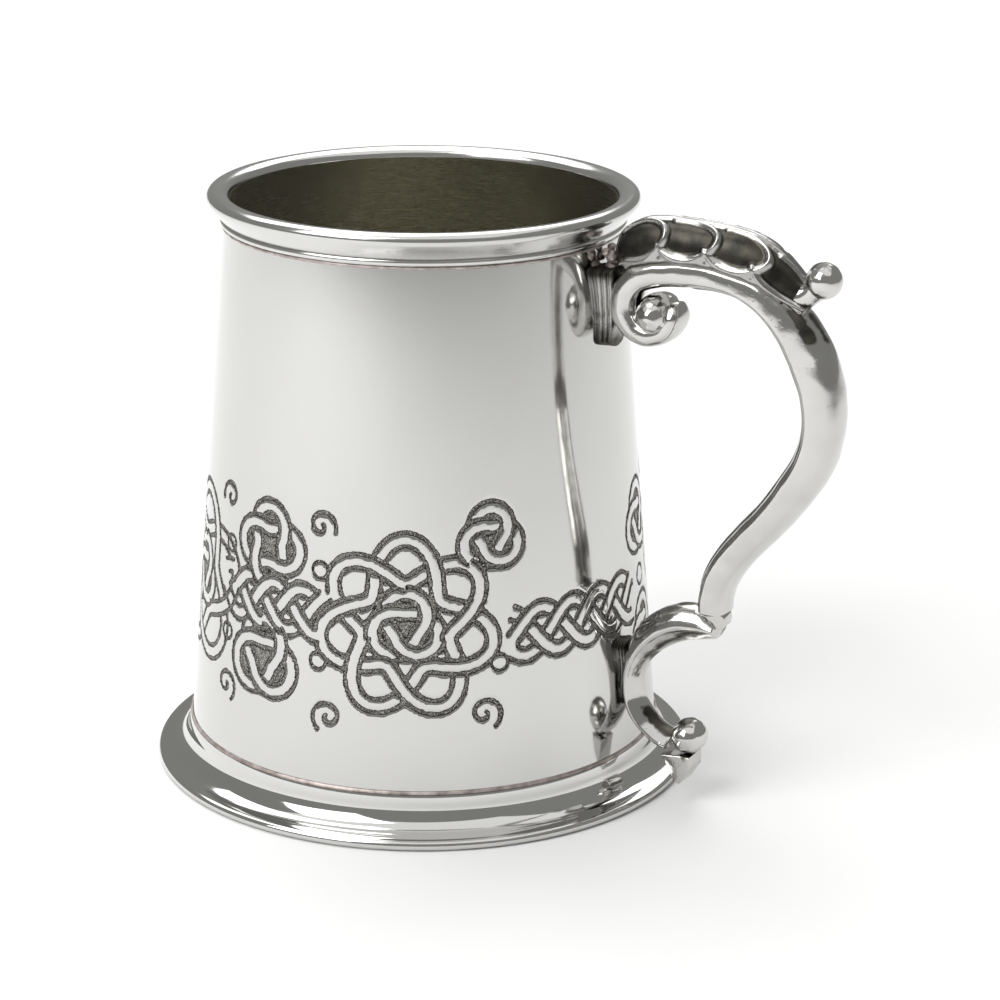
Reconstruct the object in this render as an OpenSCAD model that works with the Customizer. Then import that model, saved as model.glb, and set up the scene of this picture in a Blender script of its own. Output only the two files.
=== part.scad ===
// Pewter tankard: tapered drum, moulded lip, flared foot and a cast double-scroll handle.
// Millimetres, +Z up. Origin: centre of the foot's rest plane, on the drum's axis.
// The handle stands towards +X and is symmetric about the XZ plane.

/* [Drum] */
// Outside radius of the drum, carried down to the rest plane
drum_r0 = 47.2; // [44:0.1:50]
// Radius lost per millimetre of height
drum_taper = 0.0812; // [0.05:0.0001:0.12]
// Thickness of the drum wall
wall_t = 0.9; // [0.6:0.1:1.6]
// Height of the drum's upper edge
drum_top = 112.8; // [100:0.1:120]
// Height of the drum's lower edge, where it stands in the foot
drum_bottom = 6.5; // [5:0.1:9]
// Thickness of the bottom plate
bottom_t = 1.6; // [1:0.1:3]

/* [Foot] */
// Outside radius of the foot
foot_r = 53.6; // [50:0.1:58]
// Height of the collar that holds the drum
foot_h = 8.6; // [6:0.1:12]
// Radius of the clear space under the foot
foot_bore = 43.6; // [40:0.1:45]

/* [Lip] */
// Largest radius of the lip
lip_r = 41.6; // [39:0.1:44]
// Height of the lip's highest line
lip_top = 114.7; // [110:0.1:118]
// Clearance between the drum and the rings fitted round it
fit_gap = 0.03; // [0.02:0.01:0.1]

/* [Handle] */
// Half width of the grip across the hand
grip_w = 4.3; // [3:0.1:6]
// Half width of the thumb leaf at its widest
leaf_w = 5; // [4:0.1:7]
// Radius of the ball at the leaf's tip
thumb_ball_r = 3.4; // [2.5:0.1:5]
// Radius of the ball at the lower scroll's end
lower_ball_r = 3.4; // [2.5:0.1:5]
// Depth of the bead that runs inside the grip
bead_d = 0.9; // [0.4:0.1:2]
// Radius of the domed boss in the eye of the volute
boss_r = 4; // [3:0.1:5]

/* [Hidden] */
$fn = 96;
steps = 5;
sides = 24;

// Upper handle, from the eye of the volute over the arch and down to the collar.
// Each station: x, z, half thickness in the plane of the handle, half width.
upper_run = [
    [53.9, 98.9, 1.5, 3.6], [54.0, 96.0, 1.8, 3.8], [52.4, 93.4, 2.1, 3.9], [49.4, 92.3, 2.3, 4.0],
    [46.3, 93.2, 2.5, 4.1], [44.3, 95.8, 2.7, 4.2], [44.2, 99.3, 2.8, 4.2], [46.4, 102.6, 2.9, 4.2],
    [50.5, 104.2, 2.9, 4.2], [56.5, 105.0, 2.9, 4.2], [62.5, 105.0, 2.7, 4.2], [68.2, 103.8, 2.7, 4.2],
    [73.4, 101.2, 3.2, 4.2], [78.0, 97.0, 3.9, 4.3], [81.6, 91.2, 4.2, 4.3], [83.8, 84.5, 4.0, 4.3],
    [84.0, 78.0, 3.8, 4.3], [82.4, 71.8, 3.7, 4.3], [79.0, 66.0, 3.6, 4.2], [75.2, 60.6, 3.4, 4.1],
    [70.9, 55.6, 3.3, 4.0], [67.2, 50.9, 3.1, 3.9], [64.9, 46.8, 2.8, 3.8], [63.9, 43.2, 2.5, 3.7],
    [63.8, 40.3, 2.4, 3.7]];
grip_start = 8;
grip_end = len(upper_run) - 1;

// Lower scroll, from its ball end up to the collar.
lower_run = [
    [55.7, 12.1, 2.0, 3.8], [52.4, 13.5, 2.0, 3.9], [49.5, 16.2, 2.0, 4.0], [47.8, 19.5, 1.9, 4.0],
    [47.4, 23.2, 1.9, 4.0], [48.1, 27.1, 2.3, 4.0], [50.2, 30.8, 2.9, 4.0], [53.3, 33.7, 3.3, 4.0],
    [57.2, 35.7, 3.4, 4.0], [61.2, 36.4, 3.0, 3.9], [64.8, 36.3, 2.0, 3.8]];

// Thumb leaf: place along the upper run, height over the grip, half width.
leaf_run = [
    [6.7, 3.0, 2.6], [7.2, 6.4, 3.6], [7.8, 7.6, 4.3], [8.4, 7.6, 4.7], [9.0, 7.2, 4.9],
    [9.6, 7.0, 5.0], [10.2, 7.1, 5.0], [10.8, 7.2, 4.9], [11.4, 6.6, 4.6], [11.9, 5.7, 4.1],
    [12.4, 4.6, 3.4], [12.8, 3.4, 2.8]];

// Tangent-smooth curve through a list of stations
function blend(a, b, c, d, t) =
    0.5 * (2 * b + (c - a) * t + (2 * a - 5 * b + 4 * c - d) * t * t + (3 * b - a - 3 * c + d) * t * t * t);
function station(run, t) = let (i = min(floor(t), len(run) - 2))
    blend(run[max(i - 1, 0)], run[i], run[i + 1], run[min(i + 2, len(run) - 1)], t - i);
function heading(run, t) = let (a = station(run, max(t - 0.02, 0)), b = station(run, min(t + 0.02, len(run) - 1)),
    d = [b[0] - a[0], b[1] - a[1]]) d / norm(d);
function outward(run, t) = let (h = heading(run, t)) [-h[1], h[0]];
function edge_point(run, t, offset) = let (s = station(run, t), n = outward(run, t))
    [s[0] + n[0] * offset, s[1] + n[1] * offset];
function power(v, e) = sign(v) * pow(abs(v), 2 / e);
function spread(from, to, count) = [for (k = [0 : count]) from + (to - from) * k / count];

// Points along part of an ellipse, from one angle to another
function arc(centre, rx, rz, from, to, count) =
    [for (a = spread(from, to, count)) [centre[0] + rx * cos(a), centre[1] + rz * sin(a)]];

// Closed section round the run; e = 2 is an ellipse, higher is squarer
function ring(run, t, e) = let (s = station(run, t), n = outward(run, t))
    [for (k = [0 : sides - 1]) let (a = 360 * k / sides, u = s[2] * power(cos(a), e))
        [s[0] + n[0] * u, s[3] * power(sin(a), e), s[1] + n[1] * u]];

// Domed section that stands on the outer (side = 1) or inner (side = -1) line of the run
function dome_ring(run, t, height, half, side) = let (s = station(run, t), n = outward(run, t) * side)
    [for (k = [0 : 12]) let (a = 15 * k, u = s[2] + 0.03 + height * pow(sin(a), 0.8))
        [s[0] + n[0] * u, side * half * cos(a), s[1] + n[1] * u]];

// Radius of the drum's outside at a height
function drum_r(z) = drum_r0 - drum_taper * z;

module loft(rings) {
    m = len(rings[0]);
    last = len(rings) - 1;
    polyhedron(
        points = [for (r = rings) for (p = r) p],
        faces = concat(
            [[for (k = [0 : m - 1]) k]],
            [[for (k = [m - 1 : -1 : 0]) last * m + k]],
            [for (i = [0 : last - 1]) for (k = [0 : m - 1])
                [i * m + k, (i + 1) * m + k, (i + 1) * m + (k + 1) % m]],
            [for (i = [0 : last - 1]) for (k = [0 : m - 1])
                [i * m + k, (i + 1) * m + (k + 1) % m, i * m + (k + 1) % m]]));
}

// Flat piece in the plane of the handle, centred on it
module plate(outline, half) {
    translate([0, half, 0])
        rotate([90, 0, 0])
            linear_extrude(2 * half)
                polygon(outline);
}

// Straight tapered drum wall; its top and bottom edges are hidden in the lip and the foot
module barrel() {
    color([0.80, 0.80, 0.78])
        rotate_extrude()
            polygon([
                [drum_r(drum_bottom) - wall_t, drum_bottom], [drum_r(drum_bottom), drum_bottom],
                [drum_r(drum_top), drum_top], [drum_r(drum_top) - wall_t, drum_top]]);
}

// Disc that closes the drum, resting on the foot's ledge
module bottom_plate() {
    color([0.55, 0.55, 0.50])
        translate([0, 0, drum_bottom])
            cylinder(h = bottom_t, r = drum_r(drum_bottom + bottom_t) - wall_t - fit_gap);
}

// Rounded lip with a small bead under it, capping the drum's edge
module lip_moulding() {
    color([0.74, 0.75, 0.74])
        rotate_extrude()
            polygon(concat(
                [[drum_r(lip_top - 6.6) + fit_gap, lip_top - 6.6], [drum_r(drum_top) + fit_gap, drum_top + fit_gap],
                    [drum_r(drum_top) - wall_t, drum_top + fit_gap]],
                arc([lip_r - 1.7, lip_top - 1.5], 2.65, 1.5, 165, 90, 5),
                arc([lip_r - 1.7, lip_top - 1.5], 1.7, 1.5, 75, -30, 7),
                arc([lip_r - 3.05, lip_top - 5.85], 0.6, 0.7, 60, -75, 6),
                [[lip_r - 2.95, lip_top - 6.6]]));
}

// Fine line of solder under the lip
module lip_seam() {
    color([0.70, 0.67, 0.63])
        rotate_extrude()
            polygon([
                [drum_r(107.6) + fit_gap, 107.6], [drum_r(107.6) + 0.12, 107.6],
                [drum_r(108) + 0.3, 108.08], [drum_r(108) + fit_gap, 108.08]]);
}

// Spun foot: short collar, hollow flare and rounded edge, with a ledge for the drum
module foot_skirt() {
    color([0.76, 0.76, 0.74])
        rotate_extrude()
            polygon(concat(
                [[drum_r(foot_h) + fit_gap + 0.05, foot_h], [drum_r(foot_h) + 0.45, foot_h],
                    [drum_r(foot_h) + 0.6, foot_h - 0.5]],
                arc([foot_r - 2.1, foot_h - 2], foot_r - 2.78 - drum_r(foot_h), foot_h - 4.1, 180, 270, 8),
                arc([foot_r - 0.95, 0.97], 0.95, 0.97, 90, -90, 8),
                [[foot_r - 1.9, 0]],
                arc([foot_r - 2.1, 5], 5.5, 3.9, 255, 180, 6),
                [[foot_bore, 5], [foot_bore, drum_bottom - 0.02],
                    [drum_r(drum_bottom) + fit_gap + 0.02, drum_bottom - 0.02]]));
}

// Fillet of solder between the drum and the foot's collar
module foot_seam() {
    color([0.68, 0.63, 0.58])
        rotate_extrude()
            polygon([
                [drum_r(foot_h) + 0.04, foot_h + 0.02], [drum_r(foot_h) + 0.4, foot_h + 0.02],
                [drum_r(foot_h) + 0.2, foot_h + 0.3], [drum_r(foot_h + 0.7) + 0.04, foot_h + 0.7]]);
}

// Hollow-looking S grip: cast shell from the arch to the collar
module grip() {
    color([0.66, 0.66, 0.62])
        loft([for (t = spread(grip_start + 0.01, grip_end, (grip_end - grip_start) * steps))
            ring(upper_run, t, 2.6)]);
}

// Narrow bead along the inside of the grip
module grip_bead() {
    color([0.50, 0.48, 0.42])
        loft([for (t = spread(grip_start + 1.5, grip_end - 0.4, (grip_end - grip_start - 2) * steps))
            dome_ring(upper_run, t, bead_d, 1.3, -1)]);
}

// Curled end of the grip, under the lip
module upper_volute() {
    color([0.70, 0.70, 0.66])
        loft([for (t = spread(0, grip_start, grip_start * steps)) ring(upper_run, t, 2.6)]);
}

// Pin with a domed head on each side, in the eye of the volute
module volute_boss() {
    color([0.78, 0.78, 0.75])
        translate([49.6, 0, 97.1])
            rotate([90, 0, 0])
                rotate_extrude()
                    polygon([
                        [0, -5.8], [1.6, -5.5], [2.8, -5], [3.6, -4.6], [boss_r, -4.25], [2.1, -4.22], [2.1, 4.22],
                        [boss_r, 4.25], [3.6, 4.6], [2.8, 5], [1.6, 5.5], [0, 5.8]]);
}

// Thumb piece: domed leaf lying along the top of the arch
module thumb_leaf() {
    color([0.42, 0.41, 0.36])
        loft([for (t = spread(0, len(leaf_run) - 1, (len(leaf_run) - 1) * 3))
            let (s = station(leaf_run, t)) dome_ring(upper_run, s[0], s[1], s[2], 1)]);
}

// Ball at the leaf's tip, flat where it meets the leaf
module thumb_ball() {
    color([0.80, 0.80, 0.76])
        difference() {
            translate([83, 0, 106.4])
                sphere(r = thumb_ball_r);
            translate([78, 0, 104])
                rotate([0, -38, 0])
                    cube([7, 12, 12], center = true);
        }
}

// Nosed step between the grip and the lower scroll
module scroll_collar() {
    color([0.72, 0.72, 0.68])
        plate([
            [60.9, 40.25], [66.3, 40.25], [67.4, 39.5], [67.9, 38.4], [67.3, 37.2], [66.3, 36.8],
            [64.9, 38.6], [63.2, 39.4], [61.2, 39.75]], 4.3);
}

// C-shaped lower scroll
module lower_scroll() {
    color([0.66, 0.66, 0.61])
        loft([for (t = spread(0, len(lower_run) - 1, (len(lower_run) - 1) * steps)) ring(lower_run, t, 2.6)]);
}

// Ball at the lower scroll's end, longer than it is tall
module lower_ball() {
    color([0.80, 0.80, 0.76])
        difference() {
            translate([59.1, 0, 13.5])
                rotate([90, 0, 0])
                    rotate_extrude()
                        polygon(concat([[0, -4.2]],
                            [for (a = [-75 : 15 : 75]) [lower_ball_r * cos(a), 0.8 * sign(a) + lower_ball_r * sin(a)]],
                            [[0, 4.2]]));
            translate([52.8, 0, 13.5])
                rotate([0, 23, 0])
                    cube([6.5, 12, 12], center = true);
        }
}

// Wedge that carries the scroll's end down towards the foot's edge
module tail_tip() {
    color([0.74, 0.74, 0.70])
        plate([[54.4, 9.6], [57.3, 4.4], [58.4, 4.1], [60.4, 7.1], [60.4, 9.95], [58.2, 10.0], [57.2, 9.9]], 3);
}

// Ribbed seat between the volute and the drum
module upper_pad() {
    color([0.60, 0.58, 0.54])
        difference() {
            plate(concat(
                [[38, 104.4], [38, 88.6], [40.4, 88.6], [42.2, 90.2]],
                [for (t = [4.1 : 0.3 : 6.5]) edge_point(upper_run, t, station(upper_run, t)[2] + 0.05)],
                [[42.2, 104.4]]), 3.6);
            rotate_extrude($fn = 360)
                polygon([[0, 80], [drum_r(80) + 0.03, 80], [drum_r(110) + 0.03, 110], [0, 110]]);
        }
}

// Ribbed seat between the lower scroll and the drum
module lower_pad() {
    color([0.60, 0.58, 0.54])
        difference() {
            plate(concat(
                [[43, 31.4], [43, 17.4]],
                [for (t = [2.6 : 0.3 : 5.9]) edge_point(lower_run, t, station(lower_run, t)[2] + 0.05)]), 3.2);
            rotate_extrude($fn = 360)
                polygon([[0, 0], [drum_r(0) + 0.03, 0], [drum_r(50) + 0.03, 50], [0, 50]]);
        }
}

// Fillet of solder between the handle's top and the drum, just under the lip
module rim_solder() {
    color([0.62, 0.54, 0.48])
        rotate_extrude(angle = 9, start = -4.5)
            polygon([
                [drum_r(104.6) + 0.05, 104.6], [39.9, 104.7], [40.7, 105.6], [40.6, 106.7],
                [39.9, 107.5], [drum_r(107.5) + 0.35, 107.5], [drum_r(107) + 0.05, 106.9]]);
}

barrel();
bottom_plate();
lip_moulding();
lip_seam();
foot_skirt();
foot_seam();
grip();
grip_bead();
upper_volute();
volute_boss();
thumb_leaf();
thumb_ball();
scroll_collar();
lower_scroll();
lower_ball();
tail_tip();
upper_pad();
lower_pad();
rim_solder();
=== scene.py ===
import math
import bmesh
import bpy
from mathutils import Matrix, Vector, kdtree, noise


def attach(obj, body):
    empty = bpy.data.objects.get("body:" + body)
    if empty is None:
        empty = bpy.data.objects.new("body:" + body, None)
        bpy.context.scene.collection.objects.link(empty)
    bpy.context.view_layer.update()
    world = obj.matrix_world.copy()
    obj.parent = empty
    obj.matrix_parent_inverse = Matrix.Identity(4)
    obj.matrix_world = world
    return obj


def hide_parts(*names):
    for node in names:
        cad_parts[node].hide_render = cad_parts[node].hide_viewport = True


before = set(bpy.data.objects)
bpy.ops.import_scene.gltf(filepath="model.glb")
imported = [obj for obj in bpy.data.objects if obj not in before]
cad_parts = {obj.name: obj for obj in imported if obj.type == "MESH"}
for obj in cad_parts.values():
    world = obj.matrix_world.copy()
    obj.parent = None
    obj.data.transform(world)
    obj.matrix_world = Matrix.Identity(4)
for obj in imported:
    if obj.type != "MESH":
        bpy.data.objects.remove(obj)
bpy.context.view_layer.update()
print("frame loaded")

mm = 0.001


# curves given by a few stations

def blend(a, b, c, d, t):  # smooth step between b and c
    return 0.5 * (2 * b + (c - a) * t + (2 * a - 5 * b + 4 * c - d) * t * t
                  + (3 * b - a - 3 * c + d) * t ** 3)


def station(run, t):
    i = min(int(t), len(run) - 2)
    a, b, c, d = run[max(i - 1, 0)], run[i], run[i + 1], run[min(i + 2, len(run) - 1)]
    return [blend(a[k], b[k], c[k], d[k], t - i) for k in range(len(b))]


def smoothLine(points, perSpan):
    count = (len(points) - 1) * perSpan
    return [station(points, k / perSpan) for k in range(count)] + [list(points[-1])]


def outward(run, t):  # unit normal in the plane of the handle
    a, b = station(run, max(t - 0.02, 0)), station(run, min(t + 0.02, len(run) - 1))
    dx, dz = b[0] - a[0], b[1] - a[1]
    size = math.hypot(dx, dz)
    return -dz / size, dx / size


# making pieces

def finishPiece(bm, name, nodes, material, recalc=True):
    bmesh.ops.scale(bm, vec=(mm, mm, mm), verts=bm.verts)
    if recalc:
        bmesh.ops.recalc_face_normals(bm, faces=bm.faces)
    for face in bm.faces:
        face.smooth = True
    mesh = bpy.data.meshes.new(name)
    bm.to_mesh(mesh)
    bm.free()
    piece = bpy.data.objects.new(name, mesh)
    bpy.context.scene.collection.objects.link(piece)
    mesh.materials.append(material)
    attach(piece, "root")
    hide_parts(*nodes)
    return piece


def spinRing(bm, outline, steps):  # closed outline of (radius, height) turned about the axis
    verts = [bm.verts.new((r, 0, z)) for r, z in outline]
    edges = [bm.edges.new((verts[i], verts[(i + 1) % len(verts)])) for i in range(len(verts))]
    bmesh.ops.spin(bm, geom=verts + edges, cent=(0, 0, 0), axis=(0, 0, 1), dvec=(0, 0, 0),
                   angle=math.tau, steps=steps, use_merge=True)
    bmesh.ops.remove_doubles(bm, verts=bm.verts, dist=0.0005)


def sweep(bm, rings):  # a closed loop of points pulled from ring to ring, with both ends capped
    verts = [bm.verts.new(p) for p in rings[0]]
    edges = [bm.edges.new((verts[i - 1], verts[i])) for i in range(len(verts))]
    bmesh.ops.edgeloop_fill(bm, edges=edges)
    for ring in rings[1:]:
        grown = bmesh.ops.extrude_edge_only(bm, edges=edges)["geom"]
        fresh = {g for g in grown if isinstance(g, bmesh.types.BMVert)}
        verts = [next(e.other_vert(v) for e in v.link_edges if e.other_vert(v) in fresh) for v in verts]
        for v, p in zip(verts, ring):
            v.co = p
        edges = [bm.edges.get((verts[i - 1], verts[i])) for i in range(len(verts))]
    bmesh.ops.edgeloop_fill(bm, edges=edges)


def runPoint(run, t, out, y):  # a place beside the run, out and y in mm
    x, z = station(run, t)[:2]
    nx, nz = outward(run, t)
    return Vector((x + nx * out, y, z + nz * out))


def section(run, t, half, scale=1):  # half is one side of the section as (outward share, sideways share)
    x, z, h, w = station(run, t)[:4]
    sides = half + [(u, -y) for u, y in reversed(half[1:-1])]
    return [runPoint(run, t, h * u * scale, -w * y * scale) for u, y in sides]


def rounded(points, perSpan=3):
    return [tuple(p) for p in smoothLine(points, perSpan)]


def mixHalf(a, b, t):
    return [(p[0] + (q[0] - p[0]) * t, p[1] + (q[1] - p[1]) * t) for p, q in zip(a, b)]


def ease(a, b, t):
    k = min(max((t - a) / (b - a), 0), 1)
    return k * k * (3 - 2 * k)


def nearest(p, line):  # distance in a plane from p to a chain of points
    best = 1e9
    for a, b in zip(line, line[1:]):
        dx, dy = b[0] - a[0], b[1] - a[1]
        size = dx * dx + dy * dy
        k = min(max(((p[0] - a[0]) * dx + (p[1] - a[1]) * dy) / size, 0), 1) if size else 0
        best = min(best, math.hypot(p[0] - a[0] - dx * k, p[1] - a[1] - dy * k))
    return best


def markPatinaAndShade(bm, spots, base=0.0, extra=None):  # stores how dark each point is made: old patina, and painted shade where the spots put it
    layer = bm.verts.layers.float.new("patinaAndShade")
    for v in bm.verts:
        amount = base + 0.12 * noise.noise(v.co * 0.35)
        for x, y, z, r, most in spots:
            away = (v.co - Vector((x, y, z))).length / (r * (1 + 0.35 * noise.noise(v.co * 0.9)))
            amount = max(amount, most * (1 - ease(0.15, 1.05, away)))
        if extra:
            amount = extra(v, amount)
        v[layer] = amount


def spotRow(run, t0, t1, count, out, y, r, most):
    return [(*runPoint(run, t, out, y), r, most) for t in spread(t0, t1, count)]


def spread(a, b, count):
    return [a + (b - a) * k / count for k in range(count + 1)]


def arc(x, z, rx, rz, start, end, count):  # points along part of an ellipse
    return [(x + rx * math.cos(math.radians(k)),
             z + rz * math.sin(math.radians(k))) for k in spread(start, end, count)]


# materials

def newMaterial(name):
    material = bpy.data.materials.new(name)
    material.use_nodes = True
    nodes, links = material.node_tree.nodes, material.node_tree.links
    return material, nodes, links, nodes["Principled BSDF"]


def link(links, a, outName, b, inName):
    links.new(a.outputs[outName], b.inputs[inName])


def mathNode(nodes, links, kind, a, b=None):
    node = nodes.new("ShaderNodeMath")
    node.operation = kind
    for i, v in enumerate((a, b)):
        if v is None:
            continue
        if isinstance(v, (int, float)):
            node.inputs[i].default_value = v
        else:
            links.new(v, node.inputs[i])
    return node.outputs[0]


def ramp(nodes, links, source, stops):
    node = nodes.new("ShaderNodeValToRGB")
    node.color_ramp.elements[0].position, node.color_ramp.elements[0].color = stops[0][0], stops[0][1]
    node.color_ramp.elements[1].position, node.color_ramp.elements[1].color = stops[-1][0], stops[-1][1]
    for place, colour in stops[1:-1]:
        node.color_ramp.elements.new(place).color = colour
    links.new(source, node.inputs[0])
    return node.outputs[0]


def grey(v, tint=(1, 1, 1)):
    return (v * tint[0], v * tint[1], v * tint[2], 1)


def roundCoords(nodes, links, around, along):  # coordinates that run round the axis and up it
    place = nodes.new("ShaderNodeTexCoord")
    split = nodes.new("ShaderNodeSeparateXYZ")
    links.new(place.outputs["Object"], split.inputs[0])
    turn = mathNode(nodes, links, "ARCTAN2", split.outputs["Y"], split.outputs["X"])
    reach = mathNode(nodes, links, "SQRT", mathNode(
        nodes, links, "ADD",
        mathNode(nodes, links, "MULTIPLY", split.outputs["X"], split.outputs["X"]),
        mathNode(nodes, links, "MULTIPLY", split.outputs["Y"], split.outputs["Y"])))
    join = nodes.new("ShaderNodeCombineXYZ")
    links.new(mathNode(nodes, links, "MULTIPLY", turn, around), join.inputs[0])
    links.new(mathNode(nodes, links, "MULTIPLY", split.outputs["Z"], along), join.inputs[1])
    links.new(mathNode(nodes, links, "MULTIPLY", reach, along), join.inputs[2])
    return join.outputs[0]


def noiseNode(nodes, links, vector, scale, detail=3, rough=0.5):
    node = nodes.new("ShaderNodeTexNoise")
    node.inputs["Scale"].default_value = scale
    node.inputs["Detail"].default_value = detail
    node.inputs["Roughness"].default_value = rough
    if vector is not None:
        links.new(vector, node.inputs["Vector"])
    return node.outputs["Fac"]


def objectCoords(nodes):
    return nodes.new("ShaderNodeTexCoord").outputs["Object"]


def bump(nodes, links, height, strength, distance, normal=None):
    node = nodes.new("ShaderNodeBump")
    node.inputs["Strength"].default_value = strength
    node.inputs["Distance"].default_value = distance
    links.new(height, node.inputs["Height"])
    if normal is not None:
        links.new(normal, node.inputs["Normal"])
    return node.outputs["Normal"]



def turnedPewter(name, tone, roughLow, roughHigh, around, along, depth, tint=(1, 0.995, 0.975)):
    # around and along set the grain: a large around with a small along is upright brushing
    material, nodes, links, shader = newMaterial(name)
    grain = noiseNode(nodes, links, roundCoords(nodes, links, around, along), 1.0, 4, 0.6)
    cloud = noiseNode(nodes, links, objectCoords(nodes), 22, 3)
    links.new(ramp(nodes, links, cloud, [(0.3, grey(tone * 0.95, tint)), (0.7, grey(tone, tint))]),
              shader.inputs["Base Color"])
    mixed = mathNode(nodes, links, "MULTIPLY", grain, cloud)
    links.new(ramp(nodes, links, mixed, [(0.1, grey(roughLow)), (0.45, grey(roughHigh))]),
              shader.inputs["Roughness"])
    links.new(bump(nodes, links, grain, 0.25, depth), shader.inputs["Normal"])
    shader.inputs["Metallic"].default_value = 1
    return material


drumPewter = turnedPewter("drumPewter", 0.63, 0.05, 0.11, 520, 12, 0.000004)


def engrave(material):  # darkens and roughens the grooves by the two distances stored on the drum
    nodes, links = material.node_tree.nodes, material.node_tree.links
    shader = nodes["Principled BSDF"]
    place = objectCoords(nodes)
    cut, hatch = nodes.new("ShaderNodeAttribute"), nodes.new("ShaderNodeAttribute")
    cut.attribute_name, hatch.attribute_name = "cut", "hatch"
    fray = noiseNode(nodes, links, place, 3400, 2, 0.6)
    frayed = mathNode(nodes, links, "MULTIPLY", mathNode(nodes, links, "SUBTRACT", fray, 0.5), 0.42)
    edge = mathNode(nodes, links, "ADD", cut.outputs["Fac"], frayed)
    patchEdge = mathNode(nodes, links, "ADD", hatch.outputs["Fac"], frayed)
    groove = ramp(nodes, links, mathNode(nodes, links, "MULTIPLY", edge, -4),
                  [(0.0, grey(0)), (0.18, grey(1))])
    area = ramp(nodes, links, mathNode(nodes, links, "MULTIPLY", patchEdge, -4),
                [(0.0, grey(0)), (0.3, grey(1))])
    floorShare = ramp(nodes, links, mathNode(nodes, links, "MULTIPLY", edge, -4),
                      [(0.45, grey(0)), (1.0, grey(1))])
    stipple = noiseNode(nodes, links, place, 4200, 2, 0.7)
    pattern = ramp(nodes, links, stipple, [(0.36, grey(0.02, (1, 0.98, 0.88))),
                                           (0.50, grey(0.16, (1, 0.96, 0.86))),
                                           (0.62, grey(0.42, (1, 0.97, 0.9))), (0.70, grey(0.85))])
    hatched = ramp(nodes, links, stipple, [(0.36, grey(0.03, (1, 0.98, 0.9))),
                                           (0.50, grey(0.22, (1, 0.97, 0.88))),
                                           (0.64, grey(0.55, (1, 0.98, 0.92)))])
    dark = nodes.new("ShaderNodeMix")
    dark.data_type = "RGBA"
    links.new(floorShare, dark.inputs[0])
    dark.inputs[6].default_value = grey(0.02, (1, 0.98, 0.9))
    links.new(pattern, dark.inputs[7])

    def lay(socket, share, value):
        before = socket.links[0].from_socket
        mix = nodes.new("ShaderNodeMix")
        mix.data_type = "RGBA"
        links.new(share, mix.inputs[0])
        links.new(before, mix.inputs[6])
        if isinstance(value, tuple):
            mix.inputs[7].default_value = value
        else:
            links.new(value, mix.inputs[7])
        links.new(mix.outputs[2], socket)

    lay(shader.inputs["Base Color"], area, hatched)
    lay(shader.inputs["Base Color"], groove, dark.outputs[2])
    lay(shader.inputs["Roughness"], area, grey(0.45))
    lay(shader.inputs["Roughness"], groove, grey(0.5))
    before = shader.inputs["Normal"].links[0].from_socket
    sunk = mathNode(nodes, links, "MULTIPLY", mathNode(nodes, links, "MAXIMUM", groove, area), stipple)
    links.new(bump(nodes, links, sunk, 0.8, 0.00010, before), shader.inputs["Normal"])


engrave(drumPewter)
insidePewter = turnedPewter("insidePewter", 0.72, 0.22, 0.32, 6, 2600, 0.00003, (1, 0.98, 0.87))
grainAlong = insidePewter.node_tree.nodes.new("ShaderNodeTangent")
grainAlong.direction_type, grainAlong.axis = "RADIAL", "Z"
insidePewter.node_tree.links.new(grainAlong.outputs[0],
                                 insidePewter.node_tree.nodes["Principled BSDF"].inputs["Tangent"])
insidePewter.node_tree.nodes["Principled BSDF"].inputs["Anisotropic"].default_value = 0.7
lipPewter = turnedPewter("lipPewter", 0.66, 0.12, 0.22, 8, 3000, 0.000006)
footPewter = turnedPewter("footPewter", 0.66, 0.04, 0.10, 6, 1800, 0.000003)


def castPewter(name, bright, dark, roughLow, roughHigh, pits):
    # this attribute darkens hollows with patina and also carries painted shade; 0 is polished metal, 1 is the
    # darkest tone of old patina and of painted shade alike
    material, nodes, links, shader = newMaterial(name)
    place = objectCoords(nodes)
    patinaAndShade = nodes.new("ShaderNodeAttribute")
    patinaAndShade.attribute_name = "patinaAndShade"
    ragged = noiseNode(nodes, links, place, 420, 6, 0.72)
    cover = mathNode(nodes, links, "ADD", patinaAndShade.outputs["Fac"], mathNode(
        nodes, links, "MULTIPLY", mathNode(nodes, links, "SUBTRACT", ragged, 0.5), 0.55))
    brown = noiseNode(nodes, links, place, 260, 3)
    darkTone = ramp(nodes, links, brown, [(0.35, grey(dark, (1, 0.97, 0.86))),
                                          (0.7, grey(dark * 2.6, (1, 0.92, 0.76)))])
    lightTone = ramp(nodes, links, noiseNode(nodes, links, place, 120, 3),
                     [(0.3, grey(bright * 0.9, (1, 0.99, 0.95))), (0.7, grey(bright, (1, 0.99, 0.97)))])
    share = ramp(nodes, links, cover, [(0.28, grey(0)), (0.60, grey(1))])
    mix = nodes.new("ShaderNodeMix")
    mix.data_type = "RGBA"
    links.new(share, mix.inputs[0])
    links.new(lightTone, mix.inputs[6])
    links.new(darkTone, mix.inputs[7])
    links.new(mix.outputs[2], shader.inputs["Base Color"])
    links.new(ramp(nodes, links, cover, [(0.2, grey(roughLow)), (0.8, grey(roughHigh))]),
              shader.inputs["Roughness"])
    pit = noiseNode(nodes, links, place, 1500, 2)
    pitted = ramp(nodes, links, pit, [(0.30, grey(0)), (0.42, grey(1))])
    links.new(bump(nodes, links, pitted, pits, 0.00008), shader.inputs["Normal"])
    shader.inputs["Metallic"].default_value = 1
    return material


castMetal = castPewter("castMetal", 0.62, 0.05, 0.13, 0.42, 0.12)
leafMetal = castPewter("leafMetal", 0.46, 0.03, 0.20, 0.38, 0.18)
ballMetal = castPewter("ballMetal", 0.66, 0.07, 0.10, 0.35, 0.10)
seatMetal = castPewter("seatMetal", 0.50, 0.05, 0.25, 0.5, 0.3)


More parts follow.
